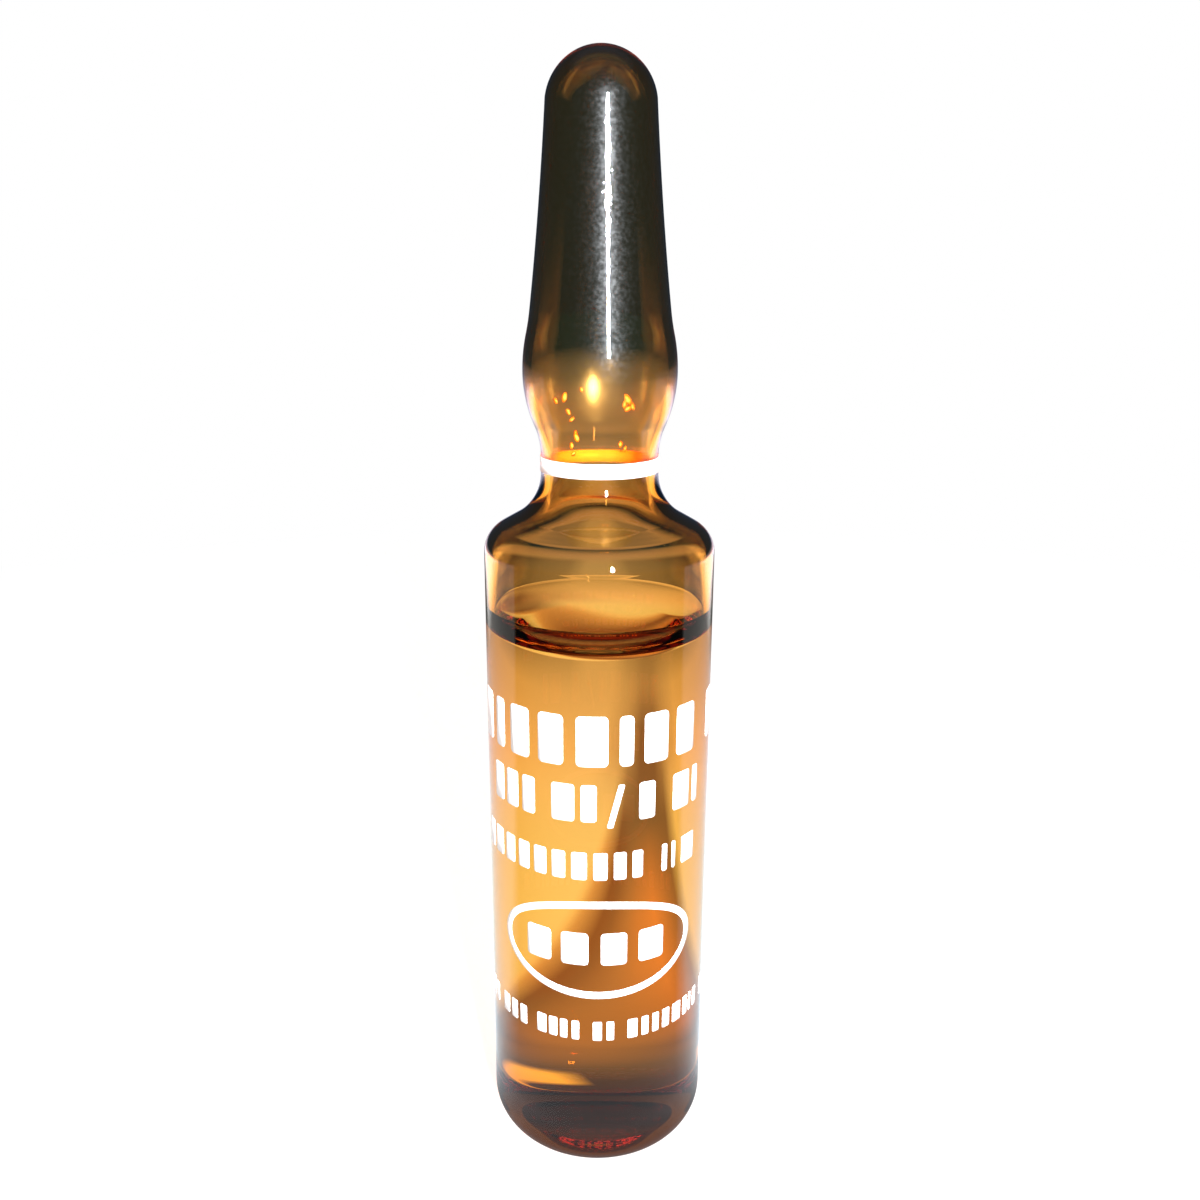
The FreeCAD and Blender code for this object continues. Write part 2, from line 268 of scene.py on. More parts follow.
def bulb_and_stem_outline(glass, inset, tip):
    """The bulb, its flare, the swept stem and the sealed dome, as tangent arcs up to the axis."""
    foot_centre = np.array((glass.neck_radius + glass.bulb_foot_round, neck_head(glass)))
    reach = glass.bulb_foot_round + glass.bulb_lower_round
    lean = math.acos((glass.bulb_radius - glass.bulb_lower_round - foot_centre[0]) / reach)
    lower_centre = on_circle(foot_centre, reach, lean)
    upper_centre = np.array((glass.bulb_radius - glass.bulb_upper_round, lower_centre[1]))
    turn = math.asin(glass.flare_rise / (glass.bulb_upper_round + glass.flare_round))
    flare_centre = on_circle(upper_centre, glass.bulb_upper_round + glass.flare_round, turn)
    sweep_centre = on_circle(flare_centre, glass.stem_sweep - glass.flare_round, glass.stem_taper)
    stem_top = flare_centre[1] + glass.stem_length
    sweep = glass.stem_sweep + inset
    stem_end = math.pi + math.asin((sweep_centre[1] - stem_top) / sweep)
    stem = arc(sweep_centre, sweep, math.pi + glass.stem_taper, stem_end, 24)
    rise = glass.dome_height - tip
    ball = cap_radius(stem[-1][0], rise)
    dome = arc((0.0, stem_top + rise - ball), ball,
               math.atan2(ball - rise, stem[-1][0]), math.pi / 2, 24)
    return np.vstack((
        arc(foot_centre, glass.bulb_foot_round + inset, math.pi, lean, 14),
        arc(lower_centre, glass.bulb_lower_round - inset, lean - math.pi, 0.0, 18),
        arc(upper_centre, glass.bulb_upper_round - inset, 0.0, turn, 12),
        arc(flare_centre, glass.flare_round + inset, math.pi + turn, math.pi + glass.stem_taper, 14),
        stem, dome))


def glass_outline(glass, inset, lift, tip, stops=()):
    """The whole outline from the middle of the base to the tip; the wall also has points at the stops."""
    base = floor_outline(glass, inset, lift)
    wall_heights = np.sort(np.concatenate((np.linspace(base[-1][1], glass.body_length, 25), stops)))
    wall = np.column_stack((np.full(len(wall_heights), glass.body_radius - inset), wall_heights))
    neck_line = glass.neck_radius - inset
    neck = run((neck_line, neck_foot(glass)), (neck_line, neck_head(glass)), 4)
    return without_repeats(np.vstack((
        base, wall, shoulder_outline(glass, inset), neck, bulb_and_stem_outline(glass, inset, tip))))


def cavity_outline(glass, stops=()):
    """The outline of the cavity, before the gather at the shoulder."""
    return glass_outline(glass, glass.wall, glass.base_thickness, glass.tip_thickness, stops)


def turned(outline, around):
    """Turn an outline whose ends lie on the Z axis: x = r cos t, y = r sin t for even angles t.

    The two ends are one point each, closed by a fan of triangles. Faces point away from the axis where the
    outline runs upwards.
    """
    angles = np.linspace(0.0, 2.0 * math.pi, around, endpoint=False)
    radius, height = outline[1:-1, :1], outline[1:-1, 1:]
    rings = np.stack((radius * np.cos(angles), radius * np.sin(angles),
                      np.broadcast_to(height, (len(radius), around))), axis=-1).reshape(-1, 3)
    points = np.vstack(((0.0, 0.0, outline[0, 1]), rings, (0.0, 0.0, outline[-1, 1])))
    here = np.arange(around)
    after = (here + 1) % around
    row = 1 + np.arange(len(radius) - 1)[:, None] * around
    quads = np.stack((row + here, row + after, row + around + after, row + around + here),
                     axis=-1).reshape(-1, 4)
    last_row, last_point = 1 + (len(radius) - 1) * around, len(points) - 1
    foot = np.column_stack((np.zeros(around, int), 1 + after, 1 + here))
    head = np.column_stack((np.full(around, last_point), last_row + here, last_row + after))
    return points, quads, np.vstack((foot, head))


def turned_inwards(shell):
    """The same surface with its faces turned round."""
    points, quads, fans = shell
    return points, quads[:, ::-1], fans[:, ::-1]


def joined(*shells):
    """Several closed surfaces as one set of points and faces."""
    offsets = np.cumsum([0] + [len(shell[0]) for shell in shells[:-1]])
    return (np.vstack([shell[0] for shell in shells]),
            np.vstack([shell[1] + offset for shell, offset in zip(shells, offsets)]),
            np.vstack([shell[2] + offset for shell, offset in zip(shells, offsets)]))


def swept(corners, closed):
    """Join four lines of points, the corners of one section after another, by four strips of faces.

    An open run is closed by its first and last section. The faces are turned round if the volume that they
    enclose, the sum of its tetrahedra from the origin, comes out negative.
    """
    sections = np.stack(corners, axis=1)
    count = len(sections)
    points = sections.reshape(-1, 3)
    steps = np.arange(count if closed else count - 1)[:, None]
    corner = np.arange(4)
    here, after = steps * 4, (steps + 1) % count * 4
    quads = np.stack((here + corner, here + (corner + 1) % 4, after + (corner + 1) % 4, after + corner),
                     axis=-1).reshape(-1, 4)
    if not closed:
        caps = np.array(((3, 2, 1, 0), 4 * (count - 1) + corner))
        quads = np.vstack((quads, caps))
    a, b, c, d = (points[quads[:, k]] for k in range(4))
    volume = np.sum(a * (np.cross(b, c) + np.cross(c, d)))
    return points, quads if volume > 0 else quads[:, ::-1], np.zeros((0, 3), int)


def on_wall(radius, across, height):
    """Points on a round wall: across is the arc length from the front, at the glass, and height is z."""
    angle = across / BODY_RADIUS
    return np.stack((radius * np.sin(angle), -radius * np.cos(angle), height), axis=-1)


def film_radii(film):
    """The radii of a printed film's face and of its foot, which lies in the glass."""
    return BODY_RADIUS + film, BODY_RADIUS - 0.5 * film


def printed_block(film, left, right, low, high, corner, slant=0.0):
    """A block of printed film: a rectangle with round corners, bent onto the wall.

    Its height shrinks towards both ends like a circle, and each of its upright lines is one section.
    """
    section_step = 0.4 * MM
    middle, half = (left + right) / 2, (right - left) / 2
    straight = np.linspace(-1.0, 1.0, 2 + int(2 * half / section_step)) * (half - corner)
    bend = np.linspace(0.0, math.pi / 2, 6)
    round_end = half - corner + corner * np.sin(bend[1:])
    across = np.concatenate((-round_end[::-1], straight, round_end))
    inwards = np.clip(np.abs(across) - (half - corner), 0.0, corner)
    cut = corner - np.sqrt(np.maximum(corner ** 2 - inwards ** 2, 0.0))
    bottom, top = low + cut, high - cut
    out, deep = film_radii(film)
    lean = slant * (high - low)
    place = middle + across
    return swept((on_wall(out, place - lean, bottom), on_wall(out, place + lean, top),
                  on_wall(deep, place + lean, top), on_wall(deep, place - lean, bottom)), closed=False)


def printed_oval(film, half_width, low, high, stroke):
    """An oval line of printed film: an ellipse, with a section across the line at every angle."""
    turn = np.linspace(0.0, 2 * math.pi, 120, endpoint=False)
    middle, half_height = (low + high) / 2, (high - low) / 2
    out, deep = film_radii(film)

    def line(radius, inset):
        across = (half_width - inset) * np.cos(turn)
        return on_wall(radius, across, middle + (half_height - inset) * np.sin(turn))

    return swept((line(out, 0.0), line(out, stroke), line(deep, stroke), line(deep, 0.0)), closed=True)


def make_piece(name, shell, material):
    """Put points and faces into a smooth mesh object that stands at the origin."""
    points, quads, fans = shell
    mesh = bpy.data.meshes.new(name)
    mesh.from_pydata(points.tolist(), [], quads.tolist() + fans.tolist())
    mesh.polygons.foreach_set("use_smooth", np.ones(len(mesh.polygons), dtype=bool))
    mesh.materials.append(material)
    mesh.update()
    piece = bpy.data.objects.new(name, mesh)
    bpy.context.scene.collection.objects.link(piece)
    return piece


def mark_points(piece, name, values):
    """Give each point of a piece one number, under a name that its material reads."""
    attribute = piece.data.attributes.new(name, "FLOAT", "POINT")
    attribute.data.foreach_set("value", np.asarray(values, dtype=np.float32))


# Materials

class Tree:
    """A new material and its node tree."""

    def __init__(self, name):
        self.material = bpy.data.materials.new(name)
        self.material.use_nodes = True
        self.nodes = self.material.node_tree.nodes
        self.nodes.clear()
        self.output = self.nodes.new("ShaderNodeOutputMaterial")

    def feed(self, socket, value):
        """Give a socket a number, a colour or the output of another node."""
        if isinstance(value, bpy.types.NodeSocket):
            self.material.node_tree.links.new(value, socket)
        else:
            socket.default_value = value

    def add(self, kind, values):
        """The first output of a new node whose inputs are given by name."""
        node = self.nodes.new(kind)
        for name, value in values.items():
            self.feed(node.inputs[name], value)
        return node.outputs[0]

    def calc(self, operation, *values, kind="ShaderNodeMath"):
        """One operation of a Math node."""
        node = self.nodes.new(kind)
        node.operation = operation
        for socket, value in zip(node.inputs, values):
            self.feed(socket, value)
        return node.outputs[0]

    def colour(self, operation, *values):
        """One operation on colours, where a single number from a node stands for a grey."""
        return self.calc(operation, *values, kind="ShaderNodeVectorMath")

    def product(self, *values):
        """Several numbers multiplied together."""
        result = values[0]
        for value in values[1:]:
            result = self.calc("MULTIPLY", result, value)
        return result

    def share(self, value, stops):
        """How far a value has come from the first stop to the last."""
        return self.add("ShaderNodeMapRange", {
            "Value": value, "From Min": stops[0][0], "From Max": stops[-1][0]})

    def ramp(self, value, stops):
        """A number that runs in straight steps through the stops, given as (value in, value out)."""
        first, last = stops[0][0], stops[-1][0]
        top = max(level for _, level in stops)
        curve = self.nodes.new("ShaderNodeFloatCurve")
        points = curve.mapping.curves[0].points
        for number, (place, level) in enumerate(stops):
            at = ((place - first) / (last - first), level / top)
            if number < 2:
                points[number].location = at
            else:
                points.new(*at)
        for point in points:
            point.handle_type = "VECTOR"
        curve.mapping.update()
        self.feed(curve.inputs["Value"], self.share(value, stops))
        return self.product(curve.outputs[0], top)

    def colour_ramp(self, value, stops):
        """A colour that runs in straight steps through the stops, given as (value in, colour out)."""
        first, last = stops[0][0], stops[-1][0]
        top = max(max(colour) for _, colour in stops)
        node = self.nodes.new("ShaderNodeValToRGB")
        elements = node.color_ramp.elements
        elements.remove(elements[1])
        for number, (place, colour) in enumerate(stops):
            at = (place - first) / (last - first)
            element = elements.new(at) if number else elements[0]
            element.position = at
            element.color = (*(part / top for part in colour), 1.0)
        self.feed(node.inputs[0], self.share(value, stops))
        return self.colour("MULTIPLY", node.outputs["Color"], (top, top, top))

    def blend(self, share, first, second):
        """A colour between two: the first where the share is 0 and the second where it is 1."""
        node = self.nodes.new("ShaderNodeMix")
        node.data_type = "RGBA"
        self.feed(node.inputs[0], share)
        start, end, result = (item for item in (*node.inputs, *node.outputs) if item.type == "RGBA")
        self.feed(start, first)
        self.feed(end, second)
        return result

    def mix(self, share, first, second):
        """A surface between two, in the same way."""
        node = self.nodes.new("ShaderNodeMixShader")
        for socket, value in zip(node.inputs, (share, first, second)):
            self.feed(socket, value)
        return node.outputs[0]

    def place(self):
        """The place of a point, in the object's coordinates."""
        return self.nodes.new("ShaderNodeTexCoord").outputs["Object"]

    def parts(self, vector):
        """The x, y and z of a vector."""
        node = self.nodes.new("ShaderNodeSeparateXYZ")
        self.feed(node.inputs[0], vector)
        return node.outputs

    def mark(self, name):
        """The number that mark_points gave the surface under a name."""
        node = self.nodes.new("ShaderNodeAttribute")
        node.attribute_name = name
        return node.outputs["Fac"]

    def ray(self, kind):
        """1 for light paths of one kind and 0 for the others."""
        return self.nodes.new("ShaderNodeLightPath").outputs[kind]

    def show(self, surface):
        """Give the material its surface."""
        self.feed(self.output.inputs["Surface"], surface)

    def show_clear(self, surface, share):
        """Show a surface that lets a share of each lamp's light straight through, as real glass does."""
        clear = self.add("ShaderNodeBsdfTransparent", {"Color": (share, share, share, 1.0)})
        self.show(self.mix(self.ray("Is Shadow Ray"), surface, clear))


WHITE = (1.0, 1.0, 1.0, 1.0)
GLASS_INDEX = 1.51
LIQUID_INDEX = 1.34
# The glass takes up red, green and blue light at (1 - AMBER) * AMBER_STRENGTH per metre
AMBER = (0.959, 0.664, 0.005, 1.0)
AMBER_STRENGTH = 2100.0
# The share of a lamp's light that falls straight through each surface of the glass
LAMP_SHARE = 0.96
# Where the glass's front is, by y, and dust and ripple on it, by height. The dust's grain is by a noise
FRONT = ((-1.5 * MM, 1.0), (-0.5 * MM, 0.0))
DUST_HEIGHTS = ((46 * MM, 0.0), (52 * MM, 0.6), (62 * MM, 1.0), (72 * MM, 1.0))
DUST_GRAIN = ((0.3, 0.15), (0.5, 0.35), (0.7, 0.75))
DUST_SHARE = 0.15
RIPPLE_HEIGHTS = ((50 * MM, 0.0), (57 * MM, 0.05), (61 * MM, 0.12), (63.5 * MM, 0.34), (67.5 * MM, 0.34),
                  (68.6 * MM, 0.1), (72 * MM, 0.1))
# The mist on the cavity's wall in the bulb, by height
MIST_HEIGHTS = ((49.8 * MM, 0.0), (50.9 * MM, 1.0), (51.9 * MM, 1.0), (52.8 * MM, 0.2), (54.5 * MM, 0.0))
DUST_ROUGHNESS = 0.39
MIST_ROUGHNESS = 0.21


def amber_glass_material():
    """Clear fire-polished glass that takes up blue and green as light goes through it.

    Dust on the front of the stem and mist on the cavity's wall are a rough coat, and the front of the stem
    has a fine ripple. Where the cavity's wall is wet, light goes from the liquid to the glass.
    """
    tree = Tree("amber glass")
    place = tree.place()
    _, depth, height = tree.parts(place)
    wet, within = tree.mark("wet"), tree.mark("within")
    front = tree.product(tree.ramp(depth, FRONT), tree.calc("SUBTRACT", 1.0, within))
    grain = tree.add("ShaderNodeTexNoise", {"Scale": 4500.0, "Detail": 3.0, "Vector": place})
    dust = tree.product(tree.ramp(height, DUST_HEIGHTS), tree.ramp(grain, DUST_GRAIN), front, DUST_SHARE)
    mist = tree.product(within, tree.ramp(height, MIST_HEIGHTS))
    ripple = tree.add("ShaderNodeTexNoise", {"Scale": 4200.0, "Detail": 2.0, "Vector": place})
    bump = tree.add("ShaderNodeBump", {
        "Strength": tree.product(front, tree.ramp(height, RIPPLE_HEIGHTS)),
        "Distance": 0.05 * MM, "Height": ripple})
    surface = tree.add("ShaderNodeBsdfPrincipled", {
        "Base Color": WHITE, "Roughness": 0.0, "Transmission Weight": 1.0,
        "IOR": tree.calc("MULTIPLY_ADD", wet, GLASS_INDEX / LIQUID_INDEX - GLASS_INDEX, GLASS_INDEX),
        "Coat IOR": 2.2, "Coat Weight": tree.calc("ADD", dust, mist),
        "Coat Roughness": tree.calc("MULTIPLY_ADD", within, MIST_ROUGHNESS - DUST_ROUGHNESS,
                                    DUST_ROUGHNESS),
        "Normal": bump})
    tree.show_clear(surface, LAMP_SHARE)
    tree.feed(tree.output.inputs["Volume"],
              tree.add("ShaderNodeVolumeAbsorption", {"Color": AMBER, "Density": AMBER_STRENGTH}))
    return tree.material


def liquid_material():
    """A clear liquid, whose free surface bends light and whose sides, where it wets the glass, don't."""
    tree = Tree("clear liquid")
    surface = tree.add("ShaderNodeBsdfPrincipled", {
        "Base Color": WHITE, "Roughness": 0.0, "Transmission Weight": 1.0,
        "IOR": tree.calc("MULTIPLY_ADD", tree.mark("free_surface"), LIQUID_INDEX - 1.0, 1.0)})
    tree.show_clear(surface, 1.0)
    return tree.material


# A droplet's painted colour from its rim to its middle: a painted highlight where it would gather the light
DROPLET_PAINTED_HIGHLIGHT = ((0.0, (0.9, 0.25, 0.02)), (0.72, (1.0, 0.42, 0.05)), (0.9, (1.0, 0.9, 0.6)),
                   (1.0, (1.0, 0.95, 0.75)))


def droplet_material():
    """Liquid left on the wall, with a painted highlight in its middle where it would catch the lamp's light.
    """
    tree = Tree("droplet liquid")
    tree.show(tree.add("ShaderNodeBsdfPrincipled", {
        "Base Color": tree.colour_ramp(tree.mark("middle"), DROPLET_PAINTED_HIGHLIGHT),
        "Roughness": 0.2, "Transmission Weight": 0.5, "IOR": LIQUID_INDEX}))
    return tree.material


# The share of the enamel's look that is light from behind
ENAMEL_GLOW = 0.3


def enamel_material(name, colour):
    """Fired white enamel, satin, through which some light comes from behind."""
    tree = Tree(name)
    face = tree.add("ShaderNodeBsdfPrincipled", {"Base Color": colour, "Roughness": 0.35})
    glow = tree.add("ShaderNodeBsdfTranslucent", {"Color": colour})
    tree.show(tree.mix(ENAMEL_GLOW, face, glow))
    return tree.material


# Operators

class AMPOULE_OT_glass(bpy.types.Operator):
    """Blow the amber glass shell, with its cavity"""
    bl_idname = "ampoule.glass"
    bl_label = "Glass Shell"

    def execute(self, context):
        glass, contact = context.scene.ampoule_glass, context.scene.ampoule_liquid.contact_height
        outside = turned(glass_outline(glass, 0.0, 0.0, 0.0), glass.around)
        line = cavity_outline(glass, stops=(contact, contact + WET_EDGE))
        middle = (glass.body_length + neck_foot(glass)) / 2
        gather = glass.shoulder_gather * np.exp(-((line[:, 1] - middle) / GATHER_REACH) ** 2)
        line[:, 0] -= gather * (line[:, 0] > 0.0)
        cavity = turned_inwards(turned(line, glass.around))
        piece = make_piece("glass_shell", joined(outside, cavity), amber_glass_material())
        wet = np.concatenate((np.zeros(len(outside[0])), cavity[0][:, 2] < contact + WET_EDGE / 2))
        mark_points(piece, "wet", wet)
        mark_points(piece, "within", np.arange(len(wet)) >= len(outside[0]))
        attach(piece, "root")
        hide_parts("glass_body")
        return {"FINISHED"}


class AMPOULE_OT_liquid(bpy.types.Operator):
    """Fill the body with liquid up to its meniscus"""
    bl_idname = "ampoule.liquid"
    bl_label = "Liquid"

    def execute(self, context):
        glass, liquid = context.scene.ampoule_glass, context.scene.ampoule_liquid
        base = floor_outline(glass, glass.wall - OVERLAP, glass.base_thickness - OVERLAP)
        side = run((base[-1][0], base[-1][1]), (base[-1][0], liquid.contact_height), 20)
        wetting = without_repeats(np.vstack((base, side)))
        top = self.surface_line(glass.body_radius - glass.wall, liquid)
        line = without_repeats(np.vstack((wetting, top)))
        piece = make_piece("liquid", turned(line, glass.around), liquid_material())
        free = np.repeat(np.arange(1, len(line) - 1) >= len(wetting), glass.around)
        mark_points(piece, "free_surface", np.concatenate(([0.0], free, [1.0])))
        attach(piece, "root")
        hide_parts("solution")
        return {"FINISHED"}

    def surface_line(self, wall_radius, liquid):
        """The free surface from the wall to the middle.

        In a round tube it rises as the Bessel function I0 of the radius over the capillary length. At the
        wall itself a steep arc is added to that.
        """
        bend, rise, reach = liquid.edge_round, liquid.edge_rise, liquid.meniscus_reach
        start = wall_radius - math.sqrt(2 * bend * rise - rise ** 2)
        radius = np.concatenate((np.linspace(wall_radius, start, 32), np.linspace(start, 0.0, 48)[1:]))
        climb = (np.i0(radius / reach) - 1.0) / (np.i0(wall_radius / reach) - 1.0)
        steep = bend - np.sqrt(bend ** 2 - np.clip(radius - start, 0.0, None) ** 2)
        drop = liquid.meniscus_rise * (1.0 - climb) + rise - steep
        return np.stack((radius, liquid.contact_height - drop), axis=-1)


class AMPOULE_OT_droplets(bpy.types.Operator):
    """Leave droplets of the liquid on the wall of the bulb"""
    bl_idname = "ampoule.droplets"
    bl_label = "Droplets"

    # Each one's angle from the back towards the right, its height, its size and its lean to the right, in
    # degrees and millimetres
    DROPS = ((-37.9, 51.47, 0.24, 15), (-36.1, 50.55, 0.18, -35), (-33.5, 50.08, 0.16, 60),
             (-30.1, 49.14, 0.24, -20), (-38.2, 48.60, 0.18, 5), (26.3, 51.02, 0.20, 15),
             (29.3, 51.32, 0.28, -35), (31.0, 50.75, 0.22, 60), (36.2, 50.91, 0.18, -20),
             (27.0, 48.68, 0.18, 5), (34.0, 48.39, 0.14, 15), (-49.8, 51.29, 0.16, -35),
             (-35.4, 48.05, 0.15, 60), (-18.0, 51.90, 0.12, -20))
    # Half a droplet's width, depth and length, and how far its middle stands off the wall, by its size
    HALF_WIDTH, HALF_DEPTH, HALF_LENGTH = 0.75, 0.5, 1.4
    STAND_OFF = 0.35

    def execute(self, context):
        """Stretch one ball into each droplet; its middle is the side that faces the axis."""
        glass = context.scene.ampoule_glass
        wall = cavity_outline(glass)
        wall = wall[wall[:, 1] > RING_HIGH[2] - 1 * MM]
        ball, quads, fans = turned(arc((0.0, 0.0), 1.0, -math.pi / 2, math.pi / 2, 10), 20)
        upward = np.array((0.0, 0.0, 1.0))
        shells = []
        for azimuth, height, size, lean in self.DROPS:
            turn, lean = math.radians(azimuth), math.radians(lean)
            outward = np.array((math.sin(turn), math.cos(turn), 0.0))
            beside = np.array((math.cos(turn), -math.sin(turn), 0.0))
            radius = np.interp(height * MM, wall[:, 1], wall[:, 0])
            middle = outward * (radius - self.STAND_OFF * size * MM) + upward * height * MM
            long_way = upward * math.cos(lean) + beside * math.sin(lean)
            short_way = beside * math.cos(lean) - upward * math.sin(lean)
            shape = np.stack((short_way * self.HALF_WIDTH, outward * self.HALF_DEPTH,
                              long_way * self.HALF_LENGTH)) * size * MM
            shells.append((ball @ shape + middle, quads, fans))
        piece = make_piece("droplets", joined(*shells), droplet_material())
        mark_points(piece, "middle", np.tile(np.clip(-ball[:, 1], 0.0, 1.0), len(self.DROPS)))
        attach(piece, "root")
        return {"FINISHED"}


class AMPOULE_OT_ring(bpy.types.Operator):
    """Fire the white break ring onto the neck"""
    bl_idname = "ampoule.ring"
    bl_label = "Break Ring"

    def execute(self, context):
        glass, enamel = context.scene.ampoule_glass, context.scene.ampoule_print
        around = np.linspace(0.0, 2 * math.pi, glass.around, endpoint=False)
        low, high = RING_LOW[2], RING_HIGH[2]
        outer, inner = RING_HIGH[0], glass.neck_radius - 2 * OVERLAP

        def circle(radius, height):
            return np.stack((radius * np.cos(around), radius * np.sin(around),
                             np.full(len(around), height)), axis=-1)

        band = swept((circle(outer, low), circle(outer, high), circle(inner, high), circle(inner, low)),
                     closed=True)
        piece = make_piece("ring_of_enamel", band, enamel_material("ring enamel", enamel.enamel))
        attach(piece, "root")
        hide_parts("break_ring")
        return {"FINISHED"}


class AMPOULE_OT_marks(bpy.types.Operator):
    """Print the plain white marks onto the body"""
    bl_idname = "ampoule.marks"
    bl_label = "Printed Marks"

    # Each row's lower edge, upper edge and corner radius, and its blocks as (left, right), measured along
    # the wall from the front, in millimetres
    ROWS = {
        "marks_bold_row": (30.2, 33.5, 0.3, (
            (-10.1, -8.6), (-7.9, -6.9), (-6.2, -4.6), (-3.9, -2.2), (-1.4, 0.6), (1.3, 2.2), (2.9, 4.6),
            (5.3, 7.0), (9.0, 10.4))),
        "marks_second_row": (26.5, 29.0, 0.2, (
            (-8.2, -7.1), (-6.7, -5.6), (-5.2, -4.2), (-3.0, -1.5), (-1.1, -0.1), (2.6, 3.7), (5.1, 6.6),
            (7.0, 7.6))),
        "marks_third_row": (22.5, 24.4, 0.15, (
            (-9.6, -8.7), (-8.3, -7.3), (-6.9, -6.0), (-5.6, -4.7), (-4.3, -3.4), (-3.0, -2.1), (-1.7, -0.7),
            (-0.3, 0.6), (1.0, 1.8), (2.2, 2.9), (4.3, 4.7), (5.1, 5.4), (6.0, 7.3))),
        "marks_frame_row": (16.4, 18.7, 0.25, (
            (-4.9, -3.1), (-2.4, -0.6), (0.2, 1.9), (2.7, 4.5))),
        "marks_fine_row": (10.8, 12.2, 0.1, (
            (-9.9, -9.3), (-9.0, -8.5), (-7.6, -6.9), (-6.6, -6.0), (-5.7, -5.1), (-4.2, -3.5), (-3.3, -2.7),
            (-2.5, -2.0), (-1.7, -1.2), (-0.3, 0.3), (0.6, 1.1), (2.0, 2.7), (3.0, 3.5), (3.8, 4.3),
            (4.6, 5.2), (5.5, 6.3), (6.6, 7.1), (7.3, 7.6), (7.9, 8.4), (9.4, 10.0))),
    }
    # The slanted bar in one row: left, right, lower edge, upper edge and corner radius, in millimetres, and
    # how far its ends lean from its middle, as a share of its height
    SLANTED_ROW = "marks_second_row"
    SLANTED_BAR = (0.9, 1.3, 26.1, 29.0, 0.1)
    SLANT = 0.12
    # The oval line's half width, lowest and highest place and stroke, in millimetres
    OVAL = (7.0, 13.95, 21.0, 0.5)

    def execute(self, context):
        enamel = context.scene.ampoule_print
        material = enamel_material("print enamel", enamel.enamel)
        for name, (low, high, corner, blocks) in self.ROWS.items():
            shells = [printed_block(enamel.film, left * MM, right * MM, low * MM, high * MM, corner * MM)
                      for left, right in blocks]
            if name == self.SLANTED_ROW:
                bar = (length * MM for length in self.SLANTED_BAR)
                shells.append(printed_block(enamel.film, *bar, slant=self.SLANT))
            self.keep(make_piece(name, joined(*shells), material))
        oval = printed_oval(enamel.film, *(length * MM for length in self.OVAL))
        self.keep(make_piece("marks_oval", oval, material))
        return {"FINISHED"}

    def keep(self, piece):
        """Enter a printed piece with the frame."""
        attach(piece, "root")


